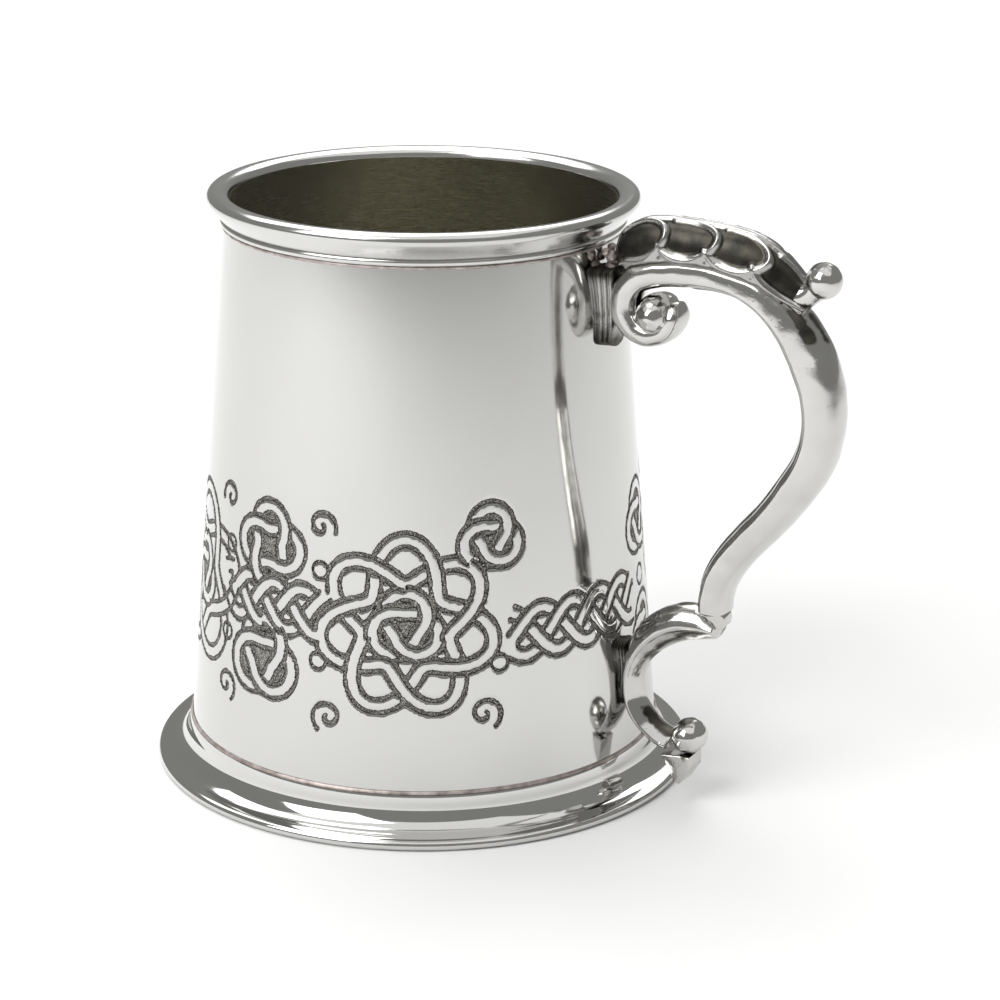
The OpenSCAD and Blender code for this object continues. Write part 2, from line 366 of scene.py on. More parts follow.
def solderMaterial():
    material, nodes, links, shader = newMaterial("solderMetal")
    place = objectCoords(nodes)
    fine = noiseNode(nodes, links, place, 1300, 4, 0.7)
    links.new(ramp(nodes, links, noiseNode(nodes, links, place, 500, 3),
                   [(0.3, grey(0.30, (1, 0.84, 0.78))), (0.65, grey(0.62, (1, 0.88, 0.83)))]),
                   shader.inputs["Base Color"])
    links.new(ramp(nodes, links, fine, [(0.2, grey(0.35)), (0.8, grey(0.6))]), shader.inputs["Roughness"])
    links.new(bump(nodes, links, fine, 0.6, 0.00012), shader.inputs["Normal"])
    shader.inputs["Metallic"].default_value = 0.85
    return material


solderMetal = solderMaterial()
print("materials made")

# drum, with engraved knotwork round its lower half
drum = {"r0": 47.2, "taper": 0.0812, "wall": 0.9, "bottom": 6.5, "top": 112.8, "steps": 750}
# the engraving is a band of plain interlace; a place is (degrees left of a panel's handle end, height in mm),
# and each panel with its link band is cut twice round the drum
engraving = {
    "end": -39.5, "depth": 0.26, "burr": 0.05, "low": 16.0, "high": 67.0, "row": 0.45, "mean": 43.6,
    "ribbon": 1.3, "groove": 1.0, "fine": 0.75,
    # lobed rosettes: place, middle radius, sway, lobes, and whether the ground is hatched
    "rosettes": [((25, 41), 12.5, 4.2, 7, False), ((25, 41), 4.6, 1.9, 3, True),
                 ((64, 31), 5.4, 2.3, 3, True),
                 ((63, 53), 5.4, 2.2, 4, True), ((97, 41), 12.5, 4.2, 5, False),
                 ((97, 41), 4.6, 1.9, 3, True),
                 ((3.5, 57.5), 3.9, 1.7, 3, True), ((126, 52), 4.6, 2.0, 3, True),
                 ((126, 29), 4.6, 2.0, 3, True)],
    # three-strand plaits: first and last place, height, sway, pitch in degrees
    "plaits": [(46, 80, 42, 4.2, 26.0), (-45, -1.5, 38.5, 4.4, 29.0)],
    # spirals: place, radius, turns, and the way they wind
    "spirals": [((6, 24), 3.4, 1.4, 1), ((44, 22.5), 3.4, 1.4, -1), ((47, 59), 3.2, 1.3, 1),
                ((78, 22.5), 3.4, 1.4, 1),
                ((80, 59.5), 3.2, 1.3, -1), ((116, 22), 3.0, 1.3, -1), ((115, 60), 3.0, 1.3, 1)],
    # plain rings: place and radius
    "rings": [((47, 50.5), 1.6), ((47, 33), 1.6), ((78.5, 50.5), 1.6), ((78.5, 33), 1.6),
              ((127, 40.5), 2.0), ((2, 33.5), 1.6)]}


def drumRadius(z):
    return drum["r0"] - drum["taper"] * z


def flat(degrees, z):  # a place in mm on the unrolled drum, before the panel is turned to its place
    return math.radians(-degrees) * engraving["mean"], z


def rosetteStrands(centre, middle, sway, lobes):  # a closed ribbon that passes over and under itself
    cx, cz = flat(*centre)
    laps = 1 if lobes % 2 == 0 else 2
    strands = []
    for strand in range(2 if laps == 1 else 1):
        course = []
        for k in spread(0, math.tau * laps, 420 * laps):
            swing = lobes * k / 2 + math.pi * strand
            r = middle + sway * math.cos(swing)
            course.append((cx + r * math.sin(k), cz + r * math.cos(k), math.sin(swing)))
        strands.append(course)
    return strands


def plaitStrands(first, last, middle, sway, pitch):
    strands = []
    for strand in range(3):
        course = []
        for a in spread(first, last, 420):
            swing = math.tau * (a / pitch + strand / 3)
            x, z = flat(a, middle + sway * math.cos(swing))
            course.append((x, z, math.sin(2 * swing)))
        strands.append(course)
    return strands


def spiralCourse(centre, radius, turns, way):
    cx, cz = flat(*centre)
    return [(cx + radius * k * math.sin(way * math.tau * turns * k),
             cz + radius * k * math.cos(math.tau * turns * k))
            for k in spread(0.12, 1, 90)]


def ringCourse(centre, radius):
    cx, cz = flat(*centre)
    return [(cx + radius * math.cos(k), cz + radius * math.sin(k)) for k in spread(0, math.tau, 60)]


ribbons, grounds = [], []
for centre, middle, sway, lobes, hatched in engraving["rosettes"]:
    ribbons += rosetteStrands(centre, middle, sway, lobes)
    if hatched:
        grounds.append((*flat(*centre), middle + sway * 0.45))
for plaitSizes in engraving["plaits"]:
    ribbons += plaitStrands(*plaitSizes)

# the middle of every ribbon, so that a lower ribbon's edges stop where a higher one crosses
middles = [(x, z, level, i, k) for i, course in enumerate(ribbons) for k,
           (x, z, level) in enumerate(course)]
middleTree = kdtree.KDTree(len(middles))
for i, p in enumerate(middles):
    middleTree.insert((p[0], p[1], 0), i)
middleTree.balance()


def covered(x, z, level, strand, k):
    for _, i, _ in middleTree.find_range((x, z, 0), engraving["ribbon"] + 0.12):
        other = middles[i]
        if other[2] > level + 0.25 and (other[3] != strand or abs(other[4] - k) > 25):
            return True
    return False


cuts = []  # place in mm and groove width
for i, course in enumerate(ribbons):
    for k, (x, z, level) in enumerate(course[:-1]):
        dx, dz = course[k + 1][0] - x, course[k + 1][1] - z
        size = math.hypot(dx, dz) or 1
        for side in (-1, 1):
            ex, ez = x - side * dz / size * engraving["ribbon"], z + side * dx / size * engraving["ribbon"]
            if not covered(ex, ez, level, i, k):
                cuts.append((ex, ez, engraving["groove"]))
for sizes in engraving["spirals"]:
    cuts += [(x, z, engraving["groove"]) for x, z in spiralCourse(*sizes)]
for sizes in engraving["rings"]:
    cuts += [(x, z, engraving["fine"]) for x, z in ringCourse(*sizes)]

roundTrip = math.tau * engraving["mean"]
turns = [math.radians(engraving["end"] + half) * engraving["mean"] + lap
         for half in (0, 180) for lap in (-roundTrip, 0, roundTrip)]
cutPoints, cutWidths = [], []
for x, z, width in cuts:
    ragged = width * (1 + 0.3 * noise.noise(Vector((x * 0.9, z * 0.9, 0)))) / 2
    for turn in turns:
        if abs(x + turn) < roundTrip / 2 + 8:
            cutPoints.append((x + turn, z, 0))
            cutWidths.append(ragged)
cutTree = kdtree.KDTree(len(cutPoints))
for i, p in enumerate(cutPoints):
    cutTree.insert(p, i)
cutTree.balance()


def cutDepth(x, z):  # distance to the nearest groove's edge, below 0 inside it
    _, i, away = cutTree.find((x, z, 0))
    return away - cutWidths[i]


def patchDepth(x, z):  # distance to the nearest hatched ground, below 0 inside it
    best = 2.0
    for turn in turns:
        for cx, cz, reach in grounds:
            outline = math.hypot(x - turn - cx, z - cz) - reach
            if outline < 1:
                away = middleTree.find((x - turn, z, 0))[2]
                best = min(best, max(outline, engraving["ribbon"] - away))
    return best


bm = bmesh.new()
low, high, wall = drum["bottom"], drum["top"], drum["wall"]
rows = round((engraving["high"] - engraving["low"]) / engraving["row"])
heights = [low, 12] + spread(engraving["low"], engraving["high"], rows) + [70, 80, 95, high]
spinRing(bm, [(drumRadius(z), z) for z in heights] + [(drumRadius(high) - wall, high),
                                                      (drumRadius(low) - wall, low)],
         drum["steps"])
cutLayer = bm.verts.layers.float.new("cut")
patchLayer = bm.verts.layers.float.new("hatch")
slope = math.atan(drum["taper"])
for v in bm.verts:
    v[cutLayer] = v[patchLayer] = 2.0
    reach = math.hypot(v.co.x, v.co.y)
    if reach > drumRadius(v.co.z) - 0.2 and engraving["low"] < v.co.z < engraving["high"]:
        x = math.atan2(v.co.y, v.co.x) * engraving["mean"]
        cut, patch = cutDepth(x, v.co.z), patchDepth(x, v.co.z)
        v[cutLayer], v[patchLayer] = min(cut, 2), patch
        sink = engraving["depth"] * max(1 - ease(-0.28, 0.06, cut), 0.5 * (1 - ease(-0.4, 0.1, patch)))
        sink -= engraving["burr"] * ease(0.0, 0.12, cut) * (1 - ease(0.12, 0.45, cut))
        v.co.x *= 1 - sink / reach
        v.co.y *= 1 - sink / reach
drumPiece = finishPiece(bm, "drumWall", ["barrel"], drumPewter)
drumMesh = drumPiece.data
drumMesh.materials.append(insidePewter)
for face in drumMesh.polygons:
    c, n = face.center, face.normal
    if c.x * n.x + c.y * n.y < 0:
        face.material_index = 1
cutData, hatchData = drumMesh.attributes["cut"].data, drumMesh.attributes["hatch"].data
normals = []
for v in drumMesh.vertices:
    reach = math.hypot(v.co.x, v.co.y)
    outside = reach > (drumRadius(v.co.z / mm) - 0.5) * mm
    clean = Vector((v.co.x / reach, v.co.y / reach, math.tan(slope))).normalized()
    if not outside:
        clean = -clean
    near = min(cutData[v.index].value, hatchData[v.index].value)
    normals.append(clean if near > 0.6 else v.normal.copy())
drumMesh.normals_split_custom_set_from_vertices(normals)
print("drum made")

# bottom plate: slightly dished, with fine turning rings
disc = {"r": 45.55, "low": 6.5, "high": 8.1, "dish": 0.4}
bm = bmesh.new()
spinRing(bm, [(0, disc["low"]), (disc["r"] - 0.2, disc["low"]), (disc["r"], disc["low"] + 0.2),
              (disc["r"], disc["high"] - 0.2), (disc["r"] - 0.2, disc["high"]),
              (disc["r"] * 0.6, disc["high"] - disc["dish"] * 0.7),
              (0, disc["high"] - disc["dish"])], 180)
bottomPiece = finishPiece(bm, "bottomPlate", ["bottom_plate"], insidePewter)
bottomPiece.data.set_sharp_from_angle(angle=0.5)

# lip: rounded moulding with a small bead under it
lip = {
    "steps": 240,
    "inner": [(38.46, 108.15), (38.1, 112.85), (37.18, 112.85)],
    "outer": (arc(39.88, 113.18, 2.64, 1.48, 165, 90, 14) + arc(39.88, 113.18, 1.69, 1.48, 85, -30, 22)
              + arc(38.54, 108.85, 0.59, 0.69, 60, -75, 14))}
bm = bmesh.new()
spinRing(bm, lip["inner"] + lip["outer"], lip["steps"])
lipPiece = finishPiece(bm, "lipMoulding", ["lip_moulding"], lipPewter)
lipPiece.data.set_sharp_from_angle(angle=0.9)

# foot: collar, cove, flare and rounded edge, hollow underneath
foot = {
    "steps": 240,
    "outer": ([(46.62, 8.6), (46.93, 8.55), (47.08, 8.1)] + arc(51.48, 6.6, 4.3, 4.5, 180, 270, 24)
              + arc(52.64, 0.98, 0.94, 0.96, 85, -90, 20)),
    "under": [(51.7, 0.02)] + arc(51.5, 5.0, 5.5, 3.9, 255, 180, 14) + [(43.6, 5.0), (43.6, 6.46),
            (46.74, 6.46)]}
bm = bmesh.new()
spinRing(bm, foot["outer"] + foot["under"], foot["steps"])
footPiece = finishPiece(bm, "footSkirt", ["foot_skirt"], footPewter)
footPiece.data.set_sharp_from_angle(angle=0.7)
print("lip and foot made")

# solder seams, a little uneven all round
seams = {"lipSeam": ("lip_seam", [(38.47, 107.55), (38.62, 107.6), (38.78, 107.85), (38.76, 108.08),
                                  (38.47, 108.08)], 0.05),
         "footSeam": ("foot_seam", [(46.56, 8.64), (46.88, 8.64), (46.8, 8.86), (46.64, 9.1),
                                    (46.52, 9.25)], 0.06)}
for name, (node, outline, wobble) in seams.items():
    bm = bmesh.new()
    spinRing(bm, outline, 240)
    for v in bm.verts:
        reach = math.hypot(v.co.x, v.co.y)
        if reach > drumRadius(v.co.z) + 0.1:
            push = wobble * noise.noise(v.co * 0.55) + 0.5 * wobble * noise.noise(v.co * 2.1)
            v.co.x *= 1 + push / reach
            v.co.y *= 1 + push / reach
    finishPiece(bm, name, [node], solderMetal)
print("seams made")

# handle: arch with the upper volute, then the grip
# each station: place along X, height, half thickness, half width
upperRun = [
    [53.9, 98.9, 1.5, 3.6], [54.0, 96.0, 1.8, 3.8], [52.4, 93.4, 2.1, 3.9], [49.4, 92.3, 2.3, 4.0],
    [46.3, 93.2, 2.5, 4.1], [44.3, 95.8, 2.7, 4.2], [44.2, 99.3, 2.8, 4.2], [46.4, 102.6, 2.9, 4.2],
    [50.5, 104.2, 2.9, 4.2], [56.5, 105.0, 2.9, 4.2], [62.5, 105.0, 2.7, 4.2], [68.2, 103.8, 2.7, 4.2],
    [73.4, 101.2, 3.2, 4.2], [78.0, 97.0, 3.9, 4.3], [81.6, 91.2, 4.2, 4.3], [83.8, 84.5, 4.0, 4.3],
    [84.0, 78.0, 3.8, 4.3], [82.4, 71.8, 3.7, 4.3], [79.0, 66.0, 3.6, 4.2], [75.2, 60.6, 3.4, 4.1],
    [70.9, 55.6, 3.3, 4.1], [67.2, 50.9, 3.2, 4.1], [64.9, 46.8, 3.1, 4.1], [63.9, 43.2, 2.9, 4.1],
    [63.8, 40.3, 2.8, 4.1]]
arch = {
    "join": 8, "curl": 1.0,
    "tube": [(1, 0), (0.96, 0.42), (0.82, 0.74), (0.55, 0.94), (0.15, 1.02), (-0.25, 1.0), (-0.52, 0.93),
             (-0.68, 0.85), (-0.78, 0.74), (-0.87, 0.6), (-0.94, 0.4), (-1, 0)],
    "grip": [(1, 0), (0.97, 0.36), (0.86, 0.68), (0.6, 0.88), (0.2, 0.97), (-0.2, 1.01), (-0.46, 1.02),
             (-0.60, 0.97), (-0.68, 0.86), (-0.80, 0.78), (-0.93, 0.5), (-1, 0)]}
# Patina and painted shade: the spots at x 46.9 and 47.2 paint the shadow between the band and the boss, the
# spot at (50.6, 100.6) paints shade on the boss's top, and the near-side rows from t 7.4 to 13.4 paint the
# shade under the leaf's overhanging edge together with patina.
archSpots = (
    [(41.5, 0, 97.5, 4.2, 1.0), (41.6, 0, 102.0, 4.6, 1.0), (42.5, -1, 93.0, 3.2, 0.8),
     (50.6, -4.6, 100.6, 2.6, 1.0),
     (46.9, -4.8, 97.0, 2.0, 0.95), (47.2, -4.8, 94.2, 1.6, 0.7), (55.0, -4.4, 101.2, 2.0, 0.75),
     (53.5, -3.2, 101.6, 2.2, 0.8), (52.4, -3.6, 91.3, 1.8, 0.35), (55.6, -3.4, 96.5, 2.0, 0.45)]
    + spotRow(upperRun, 7.4, 8.6, 4, 3.2, -3.9, 1.0, 0.8)
    + spotRow(upperRun, 9.6, 10.2, 3, 2.8, -4.2, 1.1, 0.9)
    + spotRow(upperRun, 11.2, 12.8, 9, 3.0, -4.2, 1.7, 1.0)
    + spotRow(upperRun, 12.8, 13.4, 3, 3.2, -3.6, 2.2, 0.9)
    + spotRow(upperRun, 13.0, 13.6, 3, 3.8, 0, 2.0, 0.7)
    + spotRow(upperRun, 8.4, 10.6, 6, -3.0, -3.0, 1.3, 0.42))


def archSection(t, scale=1):
    half = rounded(mixHalf(arch["tube"], arch["grip"], ease(7, 11, t)))
    return section(upperRun, t, half, scale)


def archRings(t0, t1, perStation):
    return [archSection(t) for t in spread(t0, t1, round((t1 - t0) * perStation))]


def wear(bm, size, amount):  # slight unevenness left by casting and hand finishing
    for v in bm.verts:
        v.co += Vector((noise.noise(v.co * size), noise.noise(v.co * size + Vector((9, 0, 0))),
                        noise.noise(v.co * size + Vector((0, 9, 0))))) * amount


bm = bmesh.new()
rings = [archSection(t, (0.62 + 0.38 * ease(0, arch["curl"],
                                            t)) * math.sqrt(max(1 - (1 - min(t / 0.35, 1)) ** 2,
                                                    0.02))) for t in spread(0, arch["join"], 110)]
sweep(bm, rings)
wear(bm, 0.3, 0.10)
markPatinaAndShade(bm, archSpots)
finishPiece(bm, "upperVolute", ["upper_volute"], castMetal).data.set_sharp_from_angle(angle=0.9)

bm = bmesh.new()
sweep(bm, archRings(arch["join"], 24, 12))
wear(bm, 0.3, 0.10)
markPatinaAndShade(bm, archSpots)
finishPiece(bm, "grip", ["grip"], castMetal).data.set_sharp_from_angle(angle=0.9)

# bead inside the grip, with a fine seam along its near side
bead = {"t0": 8.6, "t1": 23.6, "half": 1.7, "stand": 0.75}
bm = bmesh.new()
rings = []
for t in spread(bead["t0"], bead["t1"], 160):
    h = station(upperRun, t)[2]
    swell = 0.2 + 0.8 * min(ease(bead["t0"], bead["t0"] + 0.8, t),
                            1 - ease(bead["t1"] - 0.8, bead["t1"], t))
    rings.append([runPoint(upperRun, t, -h * 0.90 - bead["stand"] * math.sin(k) * swell,
                           -bead["half"] * swell * math.cos(k))
                  for k in spread(0, math.pi, 12)])
sweep(bm, rings)
markPatinaAndShade(bm, [], 0.38)
finishPiece(bm, "gripBead", ["grip_bead"], seatMetal)

# domed boss in the eye of the volute
boss = {"x": 50.4, "z": 96.2, "r": 4.0, "reach": 6.0}
bm = bmesh.new()
bmesh.ops.create_uvsphere(bm, u_segments=72, v_segments=48, radius=boss["r"])
for v in bm.verts:
    v.co.y *= boss["reach"] / boss["r"]
    v.co += v.co.normalized() * (0.16 * noise.noise(v.co * 0.75) + 0.06 * noise.noise(v.co * 1.9))
    v.co += Vector((boss["x"], 0, boss["z"]))
# The spots over the boss paint shade across its upper half, darkest on its top.
markPatinaAndShade(bm, archSpots[:3] + [(50.4, -5.6, 100.0, 2.9, 1.0), (48.6, -5.6, 98.6, 1.7, 0.7),
                            (54.2, -5.0, 98.2, 1.6, 0.5)], 0.08)
finishPiece(bm, "voluteBoss", ["volute_boss"], ballMetal)

# thumb leaf: overlapping scales with raised rims along a domed ridge
# each leaf station: place along the upper run, height over the grip, half width
leafRun = [
    [6.7, 3.0, 2.6], [7.2, 6.4, 3.6], [7.8, 7.6, 4.3], [8.4, 7.6, 4.7], [9.0, 7.2, 4.9], [9.6, 7.0, 5.0],
    [10.2, 7.1, 5.0], [10.8, 7.2, 4.9], [11.4, 6.6, 4.6], [11.9, 5.7, 4.1], [12.4, 4.6, 3.4],
    [12.8, 3.4, 2.8]]
leaf = {
    "along": 6.0, "up": 9.0, "bow": 2.4, "rim": 0.32, "rimWidth": 0.34, "hollow": 0.55,
    # each scale: middle along the run and half length; all share one height, half height and sweep
    "scales": [(7.65, 0.92), (9.1, 0.92), (10.5, 0.92), (11.95, 1.0)], "middle": 0.46, "reach": 0.45,
    "from": -145, "to": 112, "crest": 0.96}
leaf["rims"] = [[(middle + half * math.cos(math.radians(k)),
                  leaf["middle"] + leaf["reach"] * math.sin(math.radians(k)))
                 for k in spread(leaf["from"], leaf["to"], 20)] for middle, half in leaf["scales"]]
leaf["rims"].append([(6.9, leaf["crest"]), (9.8, leaf["crest"]), (12.7, leaf["crest"])])
rimLines = []
for rim in leaf["rims"]:
    rimLines.append([(p[0] * leaf["along"], p[1] * leaf["up"]) for p in smoothLine(rim, 5)])
leafDepth = {}


def leafAt(t):
    places = [s[0] for s in leafRun]
    i = max(k for k in range(len(places) - 1) if places[k] <= t + 1e-6)
    k = i + (t - places[i]) / (places[i + 1] - places[i])
    return station(leafRun, min(k, len(leafRun) - 1.0001))


def leafRing(t):
    _, high, half = leafAt(t)
    h = station(upperRun, t)[2]
    ring = []
    for s in spread(0, 1, 72):
        turn = math.pi * s
        c, k = math.cos(turn), math.sin(turn)
        y = half * math.copysign(abs(c) ** (2 / leaf["bow"]), c)
        rise = high * max(k, 0) ** (2 / leaf["bow"])
        share = 1 - abs(1 - 2 * s)
        away = min(nearest((t * leaf["along"], share * leaf["up"]), line) for line in rimLines)
        rim = math.exp(-(away / leaf["rimWidth"]) ** 2)
        sunk = ease(0.20, 0.95, away) * ease(0.02, 0.14, share) * (1 - 0.75 * ease(0.86, 0.95, share))
        push = leaf["rim"] * rim - leaf["hollow"] * sunk
        ny, nk = -math.copysign(abs(y / half) ** (leaf["bow"] - 1), -y) / half, max(rise / high,
                0) ** (leaf["bow"] - 1) / high
        size = math.hypot(ny, nk) or 1
        point = runPoint(upperRun, t, h * 0.85 + rise + push * nk / size, -(y + push * ny / size))
        leafDepth[tuple(round(c, 3) for c in point)] = (rim, sunk, share)
        ring.append(point)
    for y in spread(-0.9, 0.9, 6):
        ring.append(runPoint(upperRun, t, h * 0.85, -half * y))
    return ring


def leafGrime(v, amount):
    rim, sunk, share = leafDepth.get(tuple(round(c, 3) for c in v.co), (0, 0, 0))
    patch = 0.5 + 0.9 * noise.noise(v.co * 0.22 + Vector((3.1, 0, 1.7)))
    return max(amount * (1 - rim), (0.62 + 0.40 * patch) * sunk - 0.20 * rim)


bm = bmesh.new()
sweep(bm, [leafRing(t) for t in spread(6.72, 12.78, 190)])
markPatinaAndShade(bm, [(46.5, 0, 106.5, 3.0, 0.7), (44.5, -2, 104.0, 2.6, 0.95)], 0.0, leafGrime)
finishPiece(bm, "thumbLeaf", ["thumb_leaf"], leafMetal)

# ball at the leaf's tip, on a short neck
tipBall = {"x": 83.0, "z": 106.4, "r": 3.4}
bm = bmesh.new()
neck = [(76.6, 102.4, 2.7), (78.2, 102.9, 2.75), (79.8, 103.5, 2.5), (81.0, 104.4, 2.4), (82.0, 105.4, 2.6)]
rings = []
for x, z, r in smoothLine(neck, 6):
    rings.append([Vector((x - r * 0.45 * math.sin(k), r * math.cos(k),
                          z + r * 0.9 * math.sin(k))) for k in spread(0, math.tau, 40)[:-1]])
sweep(bm, rings)
ballPart = bmesh.ops.create_uvsphere(bm, u_segments=64, v_segments=40, radius=tipBall["r"])["verts"]
for v in ballPart:
    v.co += v.co.normalized() * (0.07 * noise.noise(v.co * 0.8)) + Vector((tipBall["x"], 0, tipBall["z"]))
markPatinaAndShade(bm, [(82.2, -1.2, 110.2, 3.6, 0.72), (79.9, -2.6, 105.6, 1.1, 0.9), (79.5, -1, 107.2, 1.6, 0.9),
            (80.6, -3.2, 108.0, 1.0, 0.8)], 0.02)
finishPiece(bm, "thumbBall", ["thumb_ball"], ballMetal)
print("upper handle made")

# lower scroll with its collar, ball and tail
lowerRun = [
    [55.7, 12.1, 2.0, 3.8], [52.4, 13.5, 2.0, 3.9], [49.5, 16.2, 2.0, 4.0], [47.8, 19.5, 1.9, 4.1],
    [47.4, 23.2, 1.9, 4.2],
    [48.1, 27.1, 2.3, 4.2], [50.2, 30.8, 2.9, 4.2], [53.3, 33.7, 3.3, 4.2], [57.2, 35.7, 3.4, 4.1],
    [61.2, 36.4, 3.0, 4.0],
    [64.8, 36.3, 2.0, 3.9]]
scroll = {"half": [(1, 0), (0.97, 0.35), (0.83, 0.66), (0.60, 0.88), (0.40, 0.985), (0.24, 1.03),
                   (0.08, 0.99), (-0.04, 0.90),
                   (-0.2, 0.80), (-0.48, 0.6), (-0.78, 0.32), (-0.86, 0)],
          "crown": 1.42}
bm = bmesh.new()
rings = []
for t in spread(0, 10, 130):
    lift = 1 + (scroll["crown"] - 1) * ease(4, 6.5, t) * (1 - ease(9.0, 10, t))
    half = [(u if u < 0.3 else 0.3 + (u - 0.3) * lift, y) for u, y in rounded(scroll["half"])]
    rings.append(section(lowerRun, t, half, 0.9 if t in (0, 10) else 1))
sweep(bm, rings)
wear(bm, 0.35, 0.10)
scrollSpots = (
    [(43.8, 0, 33.5, 4.2, 1.0), (44.6, -2, 14.5, 4.0, 1.0), (47.6, 0, 36.6, 3.4, 0.8),
     (52.5, 0, 40.2, 3.2, 0.8),
     (57.5, 1.0, 40.6, 3.2, 0.95), (61.5, 0.5, 40.6, 2.6, 0.9), (60.0, -3.0, 38.9, 1.2, 0.5),
     (62.6, -3, 39.0, 1.0, 0.3),
     (53.6, -1, 33.4, 3.4, 0.62), (51.3, 0, 29.0, 3.2, 0.8), (50.2, 1.0, 25.4, 1.8, 0.5)]
    + spotRow(lowerRun, 0.2, 1.9, 6, -1.8, -1.0, 2.4, 0.95)
    + spotRow(lowerRun, 1.9, 2.4, 2, -1.6, -2.4, 1.2, 0.7)
    + spotRow(lowerRun, 4.6, 8.0, 7, -0.6, -4.1, 0.7, 0.55))
markPatinaAndShade(bm, scrollSpots, 0.12)
finishPiece(bm, "lowerScroll", ["lower_scroll"], castMetal)


def plate(outline, half, soft, name, nodes, spots, base, narrow=0):
    bm = bmesh.new()
    verts = [bm.verts.new((x, -half, z)) for x, z in outline]
    edges = [bm.edges.new((verts[i - 1], verts[i])) for i in range(len(verts))]
    faces = bmesh.ops.edgeloop_fill(bm, edges=edges)["faces"]
    grown = bmesh.ops.extrude_face_region(bm, geom=faces)["geom"]
    bmesh.ops.translate(bm, vec=(0, 2 * half, 0),
                        verts=[g for g in grown if isinstance(g, bmesh.types.BMVert)])
    bmesh.ops.recalc_face_normals(bm, faces=bm.faces)
    rims = [e for e in bm.edges if abs(e.verts[0].co.y - e.verts[1].co.y) < 1e-6]
    bmesh.ops.bevel(bm, geom=rims, offset=soft, offset_type="OFFSET", segments=4, profile=0.5,
                    affect="EDGES", material=-1)
    bmesh.ops.triangulate(bm, faces=[f for f in bm.faces if len(f.verts) > 4])
    bmesh.ops.subdivide_edges(bm, edges=bm.edges, cuts=1, use_grid_fill=True)
    for v in bm.verts:
        v.co.y *= 1 - narrow * ease(63.5, 66.4, v.co.x)
    wear(bm, 0.5, 0.06)
    markPatinaAndShade(bm, spots, base)
    piece = finishPiece(bm, name, nodes, castMetal)
    piece.data.set_sharp_from_angle(angle=0.7)
    return piece


collarOutline = [(60.9, 40.25), (65.6, 40.25), (66.2, 39.6), (66.4, 38.5), (66.0, 37.3), (65.4, 36.8),
                 (64.4, 38.4),
                 (63.2, 39.4), (61.2, 39.75)]
tailOutline = [(54.4, 9.6), (57.3, 4.4), (58.4, 4.1), (60.4, 7.1), (60.4, 9.95), (58.2, 10.0), (57.2, 9.9)]
plate(collarOutline, 3.5, 0.3, "scrollCollar", ["scroll_collar"], [(61.5, -4, 40.2, 1.0, 0.9)], 0.1, 0.45)
plate(tailOutline, 3.0, 0.35, "tailTip", ["tail_tip"],
      spotRow(lowerRun, 0, 0.01, 1, 2.0, -3, 1.0, 0.8) + [(59.5, -3, 10.0, 0.9, 0.9)], 0.05)

lowBall = {"x": 59.1, "z": 13.5, "r": 3.4, "reach": 4.4}
bm = bmesh.new()
bmesh.ops.create_uvsphere(bm, u_segments=64, v_segments=40, radius=lowBall["r"])
for v in bm.verts:
    v.co.y *= lowBall["reach"] / lowBall["r"] * 0.93
    v.co += v.co.normalized() * (0.10 * noise.noise(v.co * 0.7)) + Vector((lowBall["x"], 0, lowBall["z"]))
markPatinaAndShade(bm, [(58.6, -1.0, 17.2, 3.3, 0.82), (59.0, -3.4, 10.4, 1.3, 0.8), (56.0, -3.4, 12.6, 1.2, 0.6)],
       0.04)
finishPiece(bm, "lowerBall", ["lower_ball"], ballMetal)
print("lower handle made")

# seats: fluted pads soldered between drum and handle
pads = {
    "upperPad": ("upper_pad", 88.9, 104.2, 3.4, upperRun, 38.1, 42.0),
    "lowerPad": ("lower_pad", 17.8, 31.0, 3.0, lowerRun, 44.2, 46.0)}
for name, (node, zLow, zHigh, half, run, near, far) in pads.items():
    bm = bmesh.new()
    rings = []
    for k in spread(0, 1, 40):
        z = zLow + (zHigh - zLow) * k
        end = max(0, abs(2 * k - 1) - 0.80) / 0.20
        flare = (0.80 + 0.30 * abs(2 * k - 1) ** 1.8) * math.sqrt(max(1 - end * end, 0.05))
        start = drumRadius(z) - 0.35
        side = []
        for s in spread(0, 1, 36):
            x = start + (far - start) * s
            flute = 0.62 * abs(math.sin(s * math.pi * 3)) ** 0.7 - 0.3
            side.append((x, -(half * flare * (1 - 0.25 * s) + flute)))
        ring = [Vector((x, y, z)) for x, y in side] + [Vector((x, -y, z)) for x, y in reversed(side)]
        rings.append(ring)
    sweep(bm, rings)
    wear(bm, 0.6, 0.08)

    # darker towards both ends of the pad
    def padEndsDarker(v, amount, zLow=zLow, zHigh=zHigh):
        k = (v.co.z - zLow) / (zHigh - zLow)
        return max(amount, 0.12 + 0.80 * abs(2 * k - 1) ** 2.4)
    markPatinaAndShade(bm, [], 0.1, padEndsDarker)
    finishPiece(bm, name, [node], seatMetal)

# solder lumps under the lip
lumps = [(40.9, -1.2, 106.2, 1.15), (40.6, -0.4, 104.0, 1.25), (40.9, -1.8, 102.2, 0.9),
         (40.2, 1.6, 105.6, 1.1),
         (40.3, -2.4, 107.2, 0.7), (40.0, 0.8, 107.3, 0.9)]
bm = bmesh.new()
for x, y, z, r in lumps:
    for v in bmesh.ops.create_icosphere(bm, subdivisions=4, radius=r)["verts"]:
        v.co += v.co.normalized() * 0.22 * noise.noise(v.co * 1.4 + Vector((z, 0, 0))) + Vector((x, y, z))
finishPiece(bm, "rimSolder", ["rim_solder"], solderMetal)
print("seats made")

# floor, light and camera
studio = {"turn": 28.5, "down": 18.07, "roll": 0.446, "away": 0.5891, "aside": 0.01502,
          "lookHeight": 0.05167, "lens": 107.2}

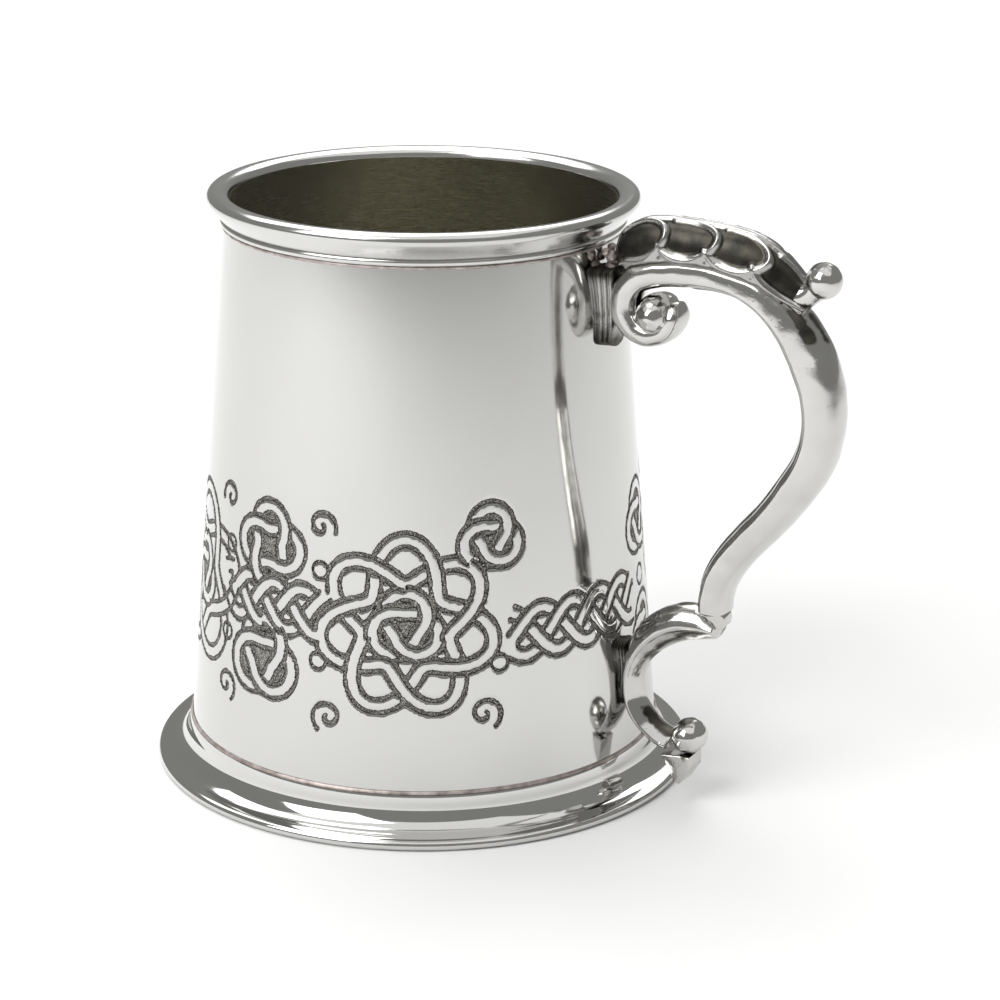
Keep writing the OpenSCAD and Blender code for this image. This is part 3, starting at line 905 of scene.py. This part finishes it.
bm = bmesh.new()
bmesh.ops.create_grid(bm, x_segments=8, y_segments=8, size=3.0)
floorMesh = bpy.data.meshes.new("floor")
bm.to_mesh(floorMesh)
bm.free()
floor = bpy.data.objects.new("floor", floorMesh)
bpy.context.scene.collection.objects.link(floor)
floorPaint, nodes, links, shader = newMaterial("floorPaint")
links.new(ramp(nodes, links, noiseNode(nodes, links, objectCoords(nodes), 3, 2),
               [(0.3, grey(0.90)), (0.7, grey(0.92))]), shader.inputs["Base Color"])
shader.inputs["Roughness"].default_value = 0.9
shader.inputs["Specular IOR Level"].default_value = 0.1
floorMesh.materials.append(floorPaint)

a, p, q = (math.radians(studio[k]) for k in ("turn", "down", "roll"))
right = Vector((math.cos(a), math.sin(a), 0))
ahead = Vector((-math.sin(a) * math.cos(p), math.cos(a) * math.cos(p), -math.sin(p)))
up = right.cross(ahead)
look = right * studio["aside"] + Vector((0, 0, studio["lookHeight"]))
camRight = right * math.cos(q) + up * math.sin(q)
camUp = up * math.cos(q) - right * math.sin(q)
camData = bpy.data.cameras.new("camera")
camData.lens, camData.sensor_width = studio["lens"], 36
camera = bpy.data.objects.new("camera", camData)
bpy.context.scene.collection.objects.link(camera)
spot = look - ahead * studio["away"]
camera.matrix_world = Matrix(((camRight.x, camUp.x, -ahead.x, spot.x),
                              (camRight.y, camUp.y, -ahead.y, spot.y),
                              (camRight.z, camUp.z, -ahead.z, spot.z), (0, 0, 0, 1)))
bpy.context.scene.camera = camera


def softbox(name, aroundDeg, reach, height, wide, tall, watts, aim=(0, 0, 0.05)):
    # aroundDeg is counted from the camera's side, anticlockwise seen from above
    t = math.radians(studio["turn"] - 90 + aroundDeg)
    data = bpy.data.lights.new(name, "AREA")
    data.shape, data.size, data.size_y, data.energy = "RECTANGLE", wide, tall, watts
    lamp = bpy.data.objects.new(name, data)
    bpy.context.scene.collection.objects.link(lamp)
    lamp.location = (reach * math.cos(t), reach * math.sin(t), height)
    lamp.rotation_euler = (Vector(aim) - lamp.location).to_track_quat("-Z", "Y").to_euler()
    return lamp


softbox("key", -50, 0.9, 0.9, 0.8, 0.8, 8.5)
softbox("overhead", 0, 0.1, 1.5, 2.0, 2.0, 9)
softbox("backdrop", 180, 1.3, 1.5, 2.6, 1.4, 26, (0, 1.0, 0))

world = bpy.data.worlds.new("studioWorld")
world.use_nodes = True
world.node_tree.nodes["Background"].inputs[0].default_value = (0.28, 0.28, 0.27, 1)
bpy.context.scene.world = world
bpy.context.scene.view_settings.view_transform = "Standard"
print("studio made")
